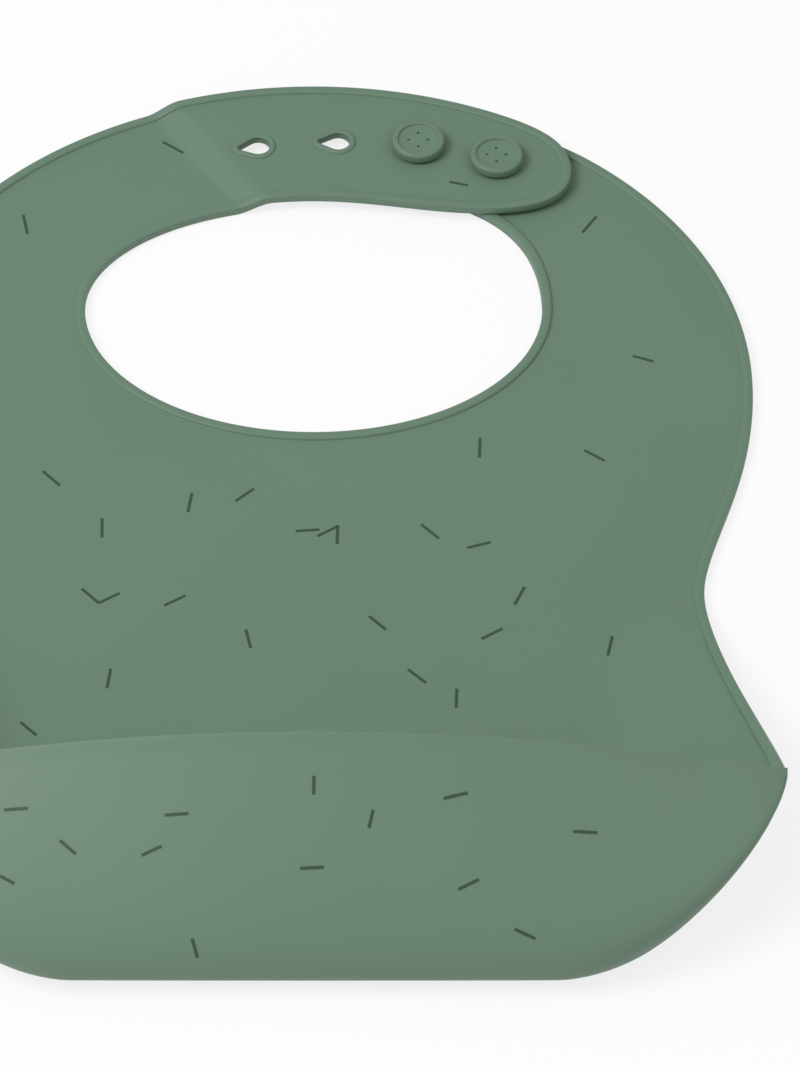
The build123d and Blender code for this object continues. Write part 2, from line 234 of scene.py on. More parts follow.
def bezierPoint(curve, t):
    a, b, c, d = (Vector(point) for point in curve)
    return a * (1 - t) ** 3 + b * 3 * t * (1 - t) ** 2 + c * 3 * t * t * (1 - t) + d * t**3


def evenly(points, count):
    # The same run of points, shared out evenly along its length
    lengths = [0]
    for before, after in zip(points, points[1:]):
        lengths.append(lengths[-1] + (after - before).length)
    shared, here = [], 0
    for step in range(count + 1):
        wanted = lengths[-1] * step / count
        while here < len(points) - 2 and lengths[here + 1] < wanted:
            here += 1
        part = (wanted - lengths[here]) / (lengths[here + 1] - lengths[here])
        shared.append(points[here].lerp(points[here + 1], part))
    return shared


def curveRun(curve):
    fine = [bezierPoint(curve, step / 120) for step in range(121)]
    length = sum((b - a).length for a, b in zip(fine, fine[1:]))
    return evenly(fine, max(2, round(length / bib["spacing"])))


def arcRun(centre, radii, start, end):
    fine = []
    for step in range(241):
        angle = math.radians(start + (end - start) * step / 240)
        fine.append(Vector((centre[0] + radii[0] * math.cos(angle), centre[1] + radii[1] * math.sin(angle))))
    length = sum((b - a).length for a, b in zip(fine, fine[1:]))
    return evenly(fine, max(2, round(length / bib["spacing"])))


def shoulderArc(start, end):
    return arcRun((0, bib["shoulderY"]), (bib["shoulderWidth"], bib["shoulderRise"]), start, end)


def neckArc(start, end, depth):
    return arcRun((0, bib["neckY"]), (bib["neckWidth"], depth), start, end)


def joinRuns(*runs):
    # One closed outline out of runs of points, each starting where the last one stopped
    outline = []
    for run in runs:
        for point in run:
            if not outline or (point - outline[-1]).length > 0.05:
                outline.append(point)
    if (outline[0] - outline[-1]).length < 0.05:
        outline.pop()
    return outline


def mirrored(run):
    return [Vector((-point.x, point.y)) for point in reversed(run)]


def contour(outline, inset, height):
    # The outline drawn in by inset; it runs clockwise, so the sheet is on its right
    points = []
    for index, point in enumerate(outline):
        way = (outline[(index + 1) % len(outline)] - outline[index - 1]).normalized()
        points.append(Vector((point.x + way.y * inset, point.y - way.x * inset, height)) * mm)
    return points


def mouldSheet(name, outline, section):
    # A filled circle carried onto the outline, then extruded step by step round the moulded edge
    deselect()
    bpy.ops.mesh.primitive_circle_add(vertices=len(outline), radius=1, fill_type="NGON")
    piece = bpy.context.object
    piece.name = piece.data.name = name
    bpy.ops.object.mode_set(mode="EDIT")
    before = None
    for inset, height in section:
        now = contour(outline, inset, height)
        if before:
            bpy.ops.mesh.extrude_region_move()
        mesh = bmesh.from_edit_mesh(piece.data)
        face = next(face for face in mesh.faces if face.select)
        if before:
            tree = KDTree(len(before))
            for index, point in enumerate(before):
                tree.insert(point, index)
            tree.balance()
            places = [(corner, tree.find(corner.co)[1]) for corner in face.verts]
        else:
            places = [(corner, index) for index, corner in enumerate(face.verts)]
        for corner, index in places:
            corner.co = now[index]
        bmesh.update_edit_mesh(piece.data)
        before = now
    bpy.ops.mesh.select_all(action="SELECT")
    bpy.ops.mesh.normals_make_consistent(inside=False)
    bpy.ops.object.mode_set(mode="OBJECT")
    return piece


def cutAway(piece, point, way, side=0):
    # Cuts off what lies past a plane, on one side of the bib or on both, and closes the cut
    editOnly(piece)
    if side:
        bpy.ops.mesh.select_mode(type="FACE")
        bpy.ops.mesh.select_all(action="DESELECT")
        mesh = bmesh.from_edit_mesh(piece.data)
        for face in mesh.faces:
            face.select_set(face.calc_center_median().x * side > 0)
        bmesh.update_edit_mesh(piece.data)
    bpy.ops.mesh.bisect(
        plane_co=Vector(point) * mm, plane_no=way, use_fill=True, clear_outer=True, threshold=1e-6
    )
    bpy.ops.object.mode_set(mode="OBJECT")


def scoreAcross(piece, point, way, first, last, spacing):
    # Lines across the sheet, so that it can bend between them
    editOnly(piece)
    for step in range(round((last - first) / spacing) + 1):
        bpy.ops.mesh.select_all(action="SELECT")
        place = (Vector(point) + Vector(way) * (first + spacing * step)) * mm
        bpy.ops.mesh.bisect(plane_co=place, plane_no=way, threshold=1e-6)
    bpy.ops.object.mode_set(mode="OBJECT")


def seamWay(bearing):
    # Square to a line from the neck's centre, turned towards the back of the neck
    angle = math.radians(bearing)
    return Vector((-math.sin(angle), math.cos(angle), 0))


seams = {"leftBearing": 150, "rightBearing": 17.5, "peelBearing": 125, "studBearing": 35}
neckCentre = Vector((0, bib["neckY"], 0))
peelWay = -seamWay(seams["peelBearing"])
studWay = seamWay(seams["studBearing"])
bend = {"before": -5, "after": 12, "spacing": 1.2}

# Chest: from the waist up to the roots of the two straps
chestOutline = joinRuns(
    [Vector((-98.7, -40.5)), Vector((-98.7, -36.5))],
    mirrored(curveRun(shoulderEdge)),
    shoulderArc(180, 125),
    neckArc(125, 180, bib["neckRise"]),
    neckArc(180, 360, bib["neckDrop"]),
    curveRun(studCheekEdge),
    shoulderArc(42, 0),
    curveRun(shoulderEdge),
    [Vector((98.7, -36.5)), Vector((98.7, -40.5))],
)
chest = mouldSheet("chest_sheet", chestOutline, edgeSection)
cutAway(chest, (0, bib["waistY"], 0), (0, -1, 0))
scoreAcross(chest, neckCentre, (1, 0, 0), 0, 0, 1)
cutAway(chest, neckCentre, -seamWay(seams["leftBearing"]), side=-1)
cutAway(chest, neckCentre, seamWay(seams["rightBearing"]), side=1)
scoreAcross(chest, neckCentre, (0, 1, 0), bend["before"] - 1, bend["after"] + 1, bend["spacing"])
print("chest sheet", len(chest.data.vertices))

# Keyhole strap: from the left shoulder over the top, lifted onto the stud strap
strapOutline = joinRuns(
    shoulderArc(160, 64),
    curveRun(strapTipEdge),
    curveRun(strapHeelEdge),
    curveRun(strapNeckEdge),
    neckArc(90, 165, bib["neckRise"]),
)
keyholeStrap = mouldSheet("keyhole_strap_sheet", strapOutline, edgeSection)
cutAway(keyholeStrap, neckCentre, seamWay(seams["leftBearing"]))
scoreAcross(keyholeStrap, neckCentre, peelWay, bend["before"] - 1, 14, bend["spacing"])
ramp = {"start": 3.0, "length": 9.5}
for corner in keyholeStrap.data.vertices:
    along = (corner.co / mm - neckCentre).dot(peelWay)
    corner.co.z += bib["lapLift"] * mm * softStep((along - ramp["start"]) / ramp["length"])

# Stud strap: from the right shoulder, flat under the keyhole strap
studStrapOutline = joinRuns(
    curveRun(studTopEdge),
    shoulderArc(49, 10),
    neckArc(-12, 0, bib["neckDrop"]),
    curveRun(studCheekEdge),
    curveRun(studNeckEdge),
    arcRun((29.02, 126.745), (16, 16), -100.2, -280.2),
)
studStrap = mouldSheet("stud_strap_sheet", studStrapOutline, edgeSection)
cutAway(studStrap, neckCentre, -seamWay(seams["rightBearing"]))
scoreAcross(studStrap, neckCentre, studWay, bend["before"] - 1, bend["after"] + 1, bend["spacing"])
print("straps", len(keyholeStrap.data.vertices), len(studStrap.data.vertices))

# Keyholes: teardrops with their tails pointing back along the strap
keyhole = {
    "places": ((-15.36, 127.03), (6.84, 128.8), (29.02, 126.745), (50.52, 120.94)),
    "arcCentre": (6.0, -1.2),
    "radius": 3.2,
    "tail": 4.7,
    "tailRadius": 0.9,
    "steps": 48,
}
lipSection = (
    (0.0, -0.3),
    (0.0, 0.1),
    (0.12, 0.34),
    (0.4, 0.5),
    (1.15, 0.5),
    (1.5, 0.36),
    (1.7, 0.08),
    (1.7, -1.85),
)


def teardrop(place, grow):
    # Clockwise outline of one keyhole, turned along the closure arc
    big, small = keyhole["radius"] + grow, keyhole["tailRadius"] + grow
    lean = math.acos((big - small) / keyhole["tail"])
    out = (Vector(place) - Vector(keyhole["arcCentre"])).normalized()
    back = Vector((-out.y, out.x))
    steps = keyhole["steps"]
    points = []
    for step in range(steps + 1):
        angle = -lean - (2 * math.pi - 2 * lean) * step / steps
        points.append((big * math.cos(angle), big * math.sin(angle)))
    for step in range(steps // 3 + 1):
        angle = lean - 2 * lean * step / (steps // 3)
        points.append((keyhole["tail"] + small * math.cos(angle), small * math.sin(angle)))
    return [Vector(place) + back * x - out * y for x, y in points]


def keyholePrism(place):
    # Solid teardrop that cuts one keyhole through the strap
    outline = teardrop(place, 0)
    deselect()
    bpy.ops.mesh.primitive_circle_add(vertices=len(outline), radius=1, fill_type="NGON")
    prism = bpy.context.object
    for corner, point in zip(prism.data.vertices, outline):
        corner.co = Vector((point.x, point.y, -5)) * mm
    editOnly(prism)
    bpy.ops.mesh.extrude_region_move(TRANSFORM_OT_translate={"value": (0, 0, 20 * mm)})
    bpy.ops.mesh.select_all(action="SELECT")
    bpy.ops.mesh.normals_make_consistent(inside=False)
    bpy.ops.object.mode_set(mode="OBJECT")
    return prism


for place in keyhole["places"]:
    prism = keyholePrism(place)
    applyModifier(keyholeStrap, "BOOLEAN", object=prism, operation="DIFFERENCE", solver="EXACT")
    bpy.data.objects.remove(prism)
print("keyholes", len(keyholeStrap.data.vertices))


# Lips: a low rounded ring round each keyhole
def ringOf(outlines):
    # A ring swept through matching outlines: a circle extruded from one to the next, its ends joined
    deselect()
    bpy.ops.mesh.primitive_circle_add(vertices=len(outlines[0]), radius=1, fill_type="NOTHING")
    ring = bpy.context.object
    bpy.ops.object.mode_set(mode="EDIT")
    bpy.ops.mesh.select_all(action="SELECT")
    for index, outline in enumerate(outlines):
        if index:
            bpy.ops.mesh.extrude_edges_move()
        mesh = bmesh.from_edit_mesh(ring.data)
        chosen = [corner for corner in mesh.verts if corner.select]
        if index:
            tree = KDTree(len(outline))
            for number, point in enumerate(outlines[index - 1]):
                tree.insert(point, number)
            tree.balance()
            places = [(corner, tree.find(corner.co)[1]) for corner in chosen]
        else:
            places = list(zip(chosen, range(len(outline))))
        for corner, number in places:
            corner.co = outline[number]
        bmesh.update_edit_mesh(ring.data)
    bpy.ops.mesh.select_all(action="SELECT")
    bpy.ops.mesh.remove_doubles(threshold=0.002 * mm)
    bpy.ops.mesh.normals_make_consistent(inside=False)
    bpy.ops.object.mode_set(mode="OBJECT")
    return ring


def joinPieces(name, pieces):
    deselect()
    for piece in pieces:
        piece.select_set(True)
    bpy.context.view_layer.objects.active = pieces[0]
    bpy.ops.object.join()
    bpy.ops.object.transform_apply(location=True, rotation=True, scale=True)
    pieces[0].name = pieces[0].data.name = name
    return pieces[0]


lapTop = bib["lapLift"] + bib["sheet"]
lips = []
for place in keyhole["places"]:
    rounds = [
        [Vector((point.x, point.y, lapTop + height)) * mm for point in teardrop(place, grow)]
        for grow, height in lipSection + lipSection[:1]
    ]
    lips.append(ringOf(rounds))
keyholeLips = joinPieces("keyhole_lips_moulded", lips)
print("lips", len(keyholeLips.data.vertices))

# Button studs: dished round heads on stems, moulded on the stud strap
studHead = {
    "radius": 7.3,
    "low": 5.5,
    "height": 2.6,
    "rimWidth": 1.6,
    "dishDepth": 0.55,
    "stemRadius": 2.3,
    "stemFoot": 1.6,
    "holeRadius": 0.48,
    "holeCircle": 2.65,
    "holeDepth": 0.8,
    "sides": 96,
}


def chooseFaces(piece, test):
    bpy.ops.mesh.select_mode(type="FACE")
    bpy.ops.mesh.select_all(action="DESELECT")
    mesh = bmesh.from_edit_mesh(piece.data)
    for face in mesh.faces:
        face.select_set(test(face))
    bmesh.update_edit_mesh(piece.data)


def roundRing(piece, radius, height, offset, segments):
    # Rounds the edges that lie on one ring about the stud's axis
    bpy.ops.mesh.select_mode(type="EDGE")
    bpy.ops.mesh.select_all(action="DESELECT")
    mesh = bmesh.from_edit_mesh(piece.data)
    for edge in mesh.edges:
        onRing = all(abs(math.hypot(end.co.x, end.co.y) / mm - radius) < 0.02 for end in edge.verts)
        edge.select_set(onRing and all(abs(end.co.z / mm - height) < 0.02 for end in edge.verts))
    bmesh.update_edit_mesh(piece.data)
    bpy.ops.mesh.bevel(offset=offset * mm, segments=segments, profile=0.5, affect="EDGES")


def makeStud(name, place):
    deselect()
    top = studHead["low"] + studHead["height"]
    bpy.ops.mesh.primitive_cylinder_add(
        vertices=studHead["sides"],
        radius=studHead["radius"] * mm,
        depth=studHead["height"] * mm,
        location=(0, 0, (top - studHead["height"] / 2) * mm),
    )
    bpy.ops.object.transform_apply(location=True, rotation=True, scale=True)
    stud = bpy.context.object
    stud.name = stud.data.name = name
    editOnly(stud)
    chooseFaces(stud, lambda face: face.normal.z > 0.9)
    bpy.ops.mesh.inset(thickness=studHead["rimWidth"] * mm)
    bpy.ops.mesh.extrude_region_move(TRANSFORM_OT_translate={"value": (0, 0, -studHead["dishDepth"] * mm)})
    chooseFaces(stud, lambda face: face.normal.z < -0.9)
    bpy.ops.mesh.inset(thickness=(studHead["radius"] - studHead["stemRadius"]) * mm)
    stemLength = studHead["low"] - studHead["stemFoot"]
    bpy.ops.mesh.extrude_region_move(TRANSFORM_OT_translate={"value": (0, 0, -stemLength * mm)})
    dishRadius = studHead["radius"] - studHead["rimWidth"]
    roundRing(stud, studHead["radius"], top, 0.85, 5)
    roundRing(stud, studHead["radius"], studHead["low"], 0.4, 3)
    roundRing(stud, dishRadius, top, 0.16, 2)
    roundRing(stud, dishRadius, top - studHead["dishDepth"], 0.2, 2)
    roundRing(stud, studHead["stemRadius"], studHead["low"], 0.4, 3)
    bpy.ops.object.mode_set(mode="OBJECT")
    drills = []
    for turn in range(4):
        angle = math.radians(90 * turn)
        deselect()
        bpy.ops.mesh.primitive_uv_sphere_add(
            segments=20,
            ring_count=12,
            radius=studHead["holeRadius"] * mm,
            location=(
                studHead["holeCircle"] * math.cos(angle) * mm,
                studHead["holeCircle"] * math.sin(angle) * mm,
                (top - studHead["dishDepth"]) * mm,
            ),
            scale=(1, 1, studHead["holeDepth"] / studHead["holeRadius"]),
        )
        drills.append(bpy.context.object)
    drill = joinPieces("stud_drill", drills)
    applyModifier(stud, "BOOLEAN", object=drill, operation="DIFFERENCE", solver="EXACT")
    bpy.data.objects.remove(drill)
    for corner in stud.data.vertices:
        corner.co += Vector((place[0], place[1], 0)) * mm
    return stud


innerStud = makeStud("inner_stud_button", keyhole["places"][2])
outerStud = makeStud("outer_stud_button", keyhole["places"][3])
print("studs", len(innerStud.data.vertices))

# Crumb pocket: gussets, floor, rounded fold and front wall in one sheet that hangs on the chest
pocket = {
    "reach": 43.5,
    "creaseWidth": 77.0,
    "creaseSoftness": 7.0,
    "cornerHeight": 29.0,
    "gussetPower": 1.2,
    "flatWidth": 57.0,
    "cornerRound": 1.8,
    "cornerFull": 0.67,
    "cornerPower": 1.6,
    "foldHeight": 8.0,
    "foldReach": 12.0,
    "foldFlex": 2.0,
    "wallBulge": 10.0,
    "rimHeight": 45.0,
    "rimRadius": 397.2,
    "rimLean": 12.0,
    "rimDip": 9.0,
    "rimLift": 1.6,
    "liftStart": 88.0,
    "liftLength": 20.0,
    "rimDepth": 2.25,
    "edgeBand": 3.7,
    "bandFit": 12.0,
    "closeStart": 97.0,
    "closeEnd": 105.5,
    "webLength": 6.0,
    "gussetRows": 34,
    "floorRows": 6,
    "foldRows": 11,
    "wallRows": 22,
    "columns": 46,
}
outerInsets = ((3.7, 0), (3.1, 0), (2.6, 0), (2.0, 0), (1.4, 0), (0.9, 0), (0.45, 0), (0.13, 0.13), (0, 0.45))
innerInsets = (
    (3.7, 1.8),
    (2.95, 1.8),
    (2.76, 1.9),
    (2.68, 2.15),
    (2.45, 2.48),
    (2.05, 2.6),
    (0.65, 2.6),
    (0.18, 2.4),
    (0, 1.95),
)
gussetFine = [bezierPoint(gussetEdge, step / 400) for step in range(401)]
gussetEven = evenly(gussetFine, pocket["gussetRows"])


def softRamp(over):
    return (over + math.hypot(over, pocket["creaseSoftness"])) / 2


def gussetSurface(x, edgeX, rise):
    # Height and slope of the back face at x, on the cross section whose edge is at edgeX
    full = softRamp(edgeX - pocket["creaseWidth"])
    over = abs(x) - pocket["creaseWidth"]
    height = rise * softRamp(over) / full
    slope = rise * (1 + over / math.hypot(over, pocket["creaseSoftness"])) / 2 / full
    return height, slope


def gussetPlain(column, inner, edge, rise):
    # A point of the gusset and lower panel: column is (share of the width, or inset and height)
    edgeSlope = gussetSurface(edge.x, edge.x, rise)[1]
    along = 1 / math.hypot(1, edgeSlope)
    share, inset, height = column
    x = share * (edge.x - pocket["edgeBand"] * along) if share < 1 else edge.x - inset * along
    z, slope = gussetSurface(x, edge.x, rise)
    lean = math.atan(slope)
    if share < 1:
        height = bib["sheet"] if inner else 0
    return Vector((x - math.sin(lean) * height, edge.y, z + math.cos(lean) * height))


def gussetPoint(column, inner, row):
    # The same, with the inside filled out towards the corner just above the pocket's mouth
    edge = gussetEven[row]
    rise = pocket["cornerHeight"] * (row / pocket["gussetRows"]) ** pocket["gussetPower"]
    point = gussetPlain(column, inner, edge, rise)
    cover = (edge.y - bib["mouthY"]) / pocket["webLength"]
    if inner and cover < 1:
        base = gussetPlain(column, inner, gussetEven[-1], pocket["cornerHeight"])
        point.z += (mouthTop(base.x) - base.z) * (1 - cover) ** 2
    return point


def rimTop(x):
    rise = pocket["rimHeight"] - pocket["rimRadius"] + math.sqrt(pocket["rimRadius"] ** 2 - x * x)
    return rise + pocket["rimLift"] * softStep((x - pocket["liftStart"]) / pocket["liftLength"])


def mouthTop(x):
    # Height of the inside face at the pocket's mouth, closing up to the rim at the corner
    floor, slope = gussetSurface(x, bib["cornerWidth"], pocket["cornerHeight"])
    floor += bib["sheet"] * math.hypot(1, slope)
    low = rimTop(x) - pocket["rimDepth"]
    if x >= pocket["closeEnd"]:
        return max(low, floor)
    return low - (low - floor) * closing(x)


def closing(x):
    # How open the inside is: 1 over most of the mouth, 0 from the rounded inner corner outwards
    part = (x - pocket["closeStart"]) / (pocket["closeEnd"] - pocket["closeStart"])
    return math.sqrt(1 - min(1, max(0, part)) ** 2)


def wallPath(x):
    # The outer face at x from the mouth down to the fold and up to the rim, as (y, z)
    floor = gussetSurface(x, bib["cornerWidth"], pocket["cornerHeight"])[0]
    out = min(1, max(0, (x - pocket["flatWidth"]) / (bib["cornerWidth"] - pocket["flatWidth"])))
    deep = (1 - out ** pocket["cornerRound"]) ** pocket["cornerFull"]
    foldY = bib["mouthY"] - pocket["reach"] * deep
    cornerRise = pocket["cornerHeight"] - pocket["foldHeight"]
    foldZ = pocket["foldHeight"] + cornerRise * out ** pocket["cornerPower"]
    foldZ = max(foldZ, floor + 0.2 * deep)
    rimZ = rimTop(x)
    tall = (rimZ - foldZ) / (pocket["rimHeight"] - pocket["foldHeight"])
    bendY = foldY + pocket["foldReach"] * deep
    startZ = foldZ + pocket["foldFlex"] * deep
    points = []
    for step in range(pocket["floorRows"]):
        points.append((bib["mouthY"] + (bendY - bib["mouthY"]) * step / pocket["floorRows"], floor))
    for step in range(pocket["foldRows"]):
        angle = math.pi / 2 * step / pocket["foldRows"]
        points.append((bendY - (bendY - foldY) * math.sin(angle), foldZ - (foldZ - floor) * math.cos(angle)))
    points.append((foldY, foldZ))
    wall = (
        (foldY, startZ),
        (foldY, startZ + pocket["wallBulge"] * tall),
        (bib["mouthY"] - pocket["rimLean"] * deep, rimZ - pocket["rimDip"] * tall),
        (bib["mouthY"], rimZ),
    )
    fine = [bezierPoint(wall, step / 60) for step in range(61)]
    length = sum((b - a).length for a, b in zip(fine, fine[1:]))
    fit = min(1, length / pocket["bandFit"])
    ending = Vector(wall[3]) - Vector(wall[2])
    way = ending.normalized() if ending.length > 0.01 else Vector((0, 1))
    shared = evenly(fine, pocket["wallRows"] * 4)
    run = 0
    cut = []
    for before, after in zip(shared, shared[1:]):
        run += (after - before).length
        if run < length - pocket["edgeBand"] * fit:
            cut.append(after)
    cut = evenly([shared[0]] + cut, pocket["wallRows"]) if cut else [shared[0]] * (pocket["wallRows"] + 1)
    points += [(point.x, point.y) for point in cut[:-1]]
    return points, Vector(wall[3]), way, fit


def pocketColumn(base, column, inner):
    # All points of one column below the mouth, from the mouth down and up to the rim
    x = min(base.x, bib["cornerWidth"])
    points, end, way, fit = wallPath(x)
    square = Vector((way.y, -way.x))
    floor = points[0][1]
    insets = innerInsets if inner else outerInsets
    places = [Vector(point) for point in points]
    if inner:
        floorTop, slope = gussetSurface(x, bib["cornerWidth"], pocket["cornerHeight"])
        floorTop += bib["sheet"] * math.hypot(1, slope)
        low = end.y - pocket["rimDepth"]
        deep = bib["mouthY"] - min(point.x for point in places)
        across = max(0, deep - bib["sheet"]) / max(deep, 0.01)
        tall = max(0.001, end.y - floor)
        squeeze = (low - floorTop) / tall
        mouth = bib["mouthY"]
        places = [
            Vector((mouth + (place.x - mouth) * across, floorTop + (place.y - floor) * squeeze))
            for place in places
        ]
    for inset, height in insets:
        places.append(end - way * inset * fit + square * height * (fit if not inner else 1))
    if inner:
        open_ = closing(x)
        top = mouthTop(x)
        low = end.y - pocket["rimDepth"]
        for place in places[: -len(insets)]:
            place.y = low - (low - place.y) * open_ if low > floor else top
            place.x = bib["mouthY"] + (place.x - bib["mouthY"]) * math.sqrt(open_)
        for number in range(len(places) - len(insets), len(places)):
            if open_ < 1:
                flat = Vector((bib["mouthY"], max(top, low)))
                places[number] = flat.lerp(places[number], open_)
    return [Vector((base.x, place.x, place.y)) for place in places]


def makePocket():
    # A grid carried onto the outer face, round the rim and back along the inner face
    half = [(step / pocket["columns"], 0, 0) for step in range(pocket["columns"])]
    outerColumns = half + [(1, inset, height) for inset, height in outerInsets]
    innerColumns = half + [(1, inset, height) for inset, height in innerInsets]
    grids = []
    for columns, inner in ((outerColumns, False), (innerColumns, True)):
        side = []
        for column in columns:
            line = [gussetPoint(column, inner, row) for row in range(pocket["gussetRows"] + 1)]
            line += pocketColumn(line[-1], column, inner)[1:]
            side.append(line)
        grids.append(side)
    outerSide, innerSide = grids
    # rows run outer face first, then back along the inner face
    across = len(outerColumns)
    down = len(outerSide[0])
    deselect()
    bpy.ops.mesh.primitive_grid_add(x_subdivisions=2 * across - 2, y_subdivisions=2 * down - 1, size=1)
    piece = bpy.context.object
    piece.name = piece.data.name = "pocket_sheet"
    for index, corner in enumerate(piece.data.vertices):
        row, number = divmod(index, 2 * across - 1)
        offset = number - (across - 1)
        side = outerSide if row < down else innerSide
        line = side[abs(offset)]
        point = line[row if row < down else 2 * down - 1 - row]
        corner.co = Vector((math.copysign(point.x, offset) if offset else 0, point.y, point.z)) * mm
    editOnly(piece)
    mesh = bmesh.from_edit_mesh(piece.data)
    mesh.verts.ensure_lookup_table()
    wide, tall = 2 * across - 1, 2 * down
    for number in (0, wide - 1):
        for row in range(down - 1):
            rows = (row, row + 1, tall - 2 - row, tall - 1 - row)
            mesh.faces.new([mesh.verts[one * wide + number] for one in rows])
    bmesh.update_edit_mesh(piece.data)
    bpy.ops.mesh.select_all(action="SELECT")
    bpy.ops.mesh.remove_doubles(threshold=0.01 * mm)
    bpy.ops.mesh.dissolve_degenerate(threshold=0.005 * mm)
    bpy.ops.mesh.select_mode(type="EDGE")
    bpy.ops.mesh.select_all(action="DESELECT")
    bpy.ops.mesh.select_non_manifold(
        extend=False, use_wire=False, use_multi_face=False, use_non_contiguous=False, use_verts=False
    )
    bpy.ops.mesh.edge_face_add()
    bpy.ops.mesh.select_all(action="SELECT")
    bpy.ops.mesh.normals_make_consistent(inside=False)
    bpy.ops.object.mode_set(mode="OBJECT")
    return piece


pocketSheet = makePocket()
print("pocket sheet", len(pocketSheet.data.vertices))

# Scattered short dashes: plan places of both ends, sheet by sheet
dashes = {
    "width": 0.75,
    "stand": 0.08,
    "sink": 0.2,
    "samples": 8,
    "base": "354f41",
    "deep": "304a3c",
    "chest": (
        (-70.2, 10.3, -65.6, 5.4),
        (-54.3, -5.7, -54.1, -12.1),
        (-31.4, 2.8, -32.3, -3.6),
        (-15.4, 4.3, -20.1, 0.1),
        (-4.6, -10.0, 1.5, -9.5),
        (1.0, -11.7, 6.3, -8.3),
        (6.2, -8.1, 6.0, -14.3),
        (-58.6, -29.1, -54.2, -33.7),
        (43.5, 21.7, 43.1, 15.0),
        (70.5, 17.5, 75.6, 13.9),
        (27.6, -7.8, 32.0, -12.4),
        (39.2, -15.6, 45.2, -13.7),
        (53.4, -28.5, 50.7, -34.2),
        (-79.6, 103.3, -78.1, 96.0),
        (84.9, 50.8, 90.2, 48.8),
    ),
    "pocket": (
        (-54.2, -33.7, -49.0, -30.5),
        (-37.6, -34.5, -32.4, -31.3),
        (-17.0, -42.3, -15.7, -48.2),
        (14.0, -38.0, 18.1, -42.3),
        (-50.5, -54.9, -51.2, -61.0),
        (-72.1, -72.1, -68.0, -76.0),
        (42.1, -45.3, 47.4, -42.0),
        (74.8, -44.7, 73.4, -50.9),
        (23.5, -55.0, 27.9, -59.3),
        (35.5, -61.1, 35.2, -67.1),
        (-72.0, -119.9, -66.4, -119.9),
        (-34.5, -122.8, -29.0, -122.6),
        (0.1, -115.6, -0.0, -119.3),
        (13.8, -122.2, 12.8, -125.8),
        (-58.9, -126.9, -55.1, -129.8),
        (-39.8, -130.6, -35.2, -128.9),
        (-72.7, -133.6, -69.3, -135.3),
        (-3.1, -133.6, 2.4, -133.4),
        (-28.1, -146.2, -26.9, -149.1),
        (30.2, -119.6, 35.8, -118.3),
        (60.3, -125.0, 65.9, -125.0),
        (33.5, -137.3, 38.3, -135.3),
        (46.5, -144.4, 51.3, -146.0),
    ),
    "strap": (
        (-42.0, 131.7, -36.2, 127.3),
        (37.5, 113.1, 42.5, 111.7),
    ),
    "stud": (
        (77.5, 102.6, 73.4, 96.5),
    ),
}


def surfaceAt(sheets, x, y):
    # Highest place of the sheets under a point of the plan, and which way it faces
    hits = [sheet.ray_cast(Vector((x, y, 200)) * mm, Vector((0, 0, -1))) for sheet in sheets]
    hits = [hit for hit in hits if hit[0] is not None]
    place, facing = max(hits, key=lambda hit: hit[0].z)[:2]
    return place, facing


def makeDashes(name, kind, *pieces):
    # Thin closed strips draped over the sheets
    sheets = []
    for piece in pieces:
        corners = [corner.co for corner in piece.data.vertices]
        sheets.append(BVHTree.FromPolygons(corners, [tuple(face.vertices) for face in piece.data.polygons]))
    work = bmesh.new()
    half, top, low = dashes["width"] / 2 * mm, dashes["stand"] * mm, dashes["sink"] * mm
    for startX, startY, endX, endY in dashes[kind]:
        parts = [step / dashes["samples"] for step in range(dashes["samples"] + 1)]
        places = [
            surfaceAt(sheets, startX + (endX - startX) * part, startY + (endY - startY) * part)
            for part in parts
        ]
        run = (places[-1][0] - places[0][0]).normalized()
        rings = []
        for place, facing in places:
            side = run.cross(facing).normalized() * half
            rings.append(
                [
                    work.verts.new(place + across + facing * height)
                    for across, height in ((-side, -low), (-side, top), (side, top), (side, -low))
                ]
            )
        work.faces.new(rings[0])
        work.faces.new(reversed(rings[-1]))
        for before, after in zip(rings, rings[1:]):
            for corner in range(4):
                following = (corner + 1) % 4
                work.faces.new((before[following], before[corner], after[corner], after[following]))
    bmesh.ops.recalc_face_normals(work, faces=work.faces)
    deselect()
    bpy.ops.mesh.primitive_cube_add()
    marks = bpy.context.object
    marks.name = marks.data.name = name
    work.to_mesh(marks.data)
    work.free()
    return marks


chestDashes = makeDashes("chest_dashes", "chest", chest, pocketSheet)
pocketDashes = makeDashes("pocket_dashes", "pocket", chest, pocketSheet)
strapDashes = makeDashes("keyhole_strap_dashes", "strap", keyholeStrap)
studDashes = makeDashes("stud_strap_dashes", "stud", studStrap)
print("dashes", len(chestDashes.data.vertices) + len(pocketDashes.data.vertices))


def srgb(code):
    # A hex colour as the linear values that Blender works in
    parts = [int(code[place : place + 2], 16) / 255 for place in (0, 2, 4)]
    return [part / 12.92 if part <= 0.04045 else ((part + 0.055) / 1.055) ** 2.4 for part in parts] + [1]


def addNode(tree, kind, settings=None, inputs=None):
    node = tree.nodes.new(kind)
    for key, value in (settings or {}).items():
        setattr(node, key, value)
    for key, value in (inputs or {}).items():
        if isinstance(value, bpy.types.NodeSocket):
            tree.links.new(value, node.inputs[key])
        else:
            node.inputs[key].default_value = value
    return node


def newMaterial(name):
    material = bpy.data.materials.new(name)
    material.use_nodes = True
    material.node_tree.nodes.clear()
    return material, material.node_tree


silicone = {
    "base": "68826f",
    "deep": "637d6a",
    "cloud": 60,
    "grain": 0.45,
}


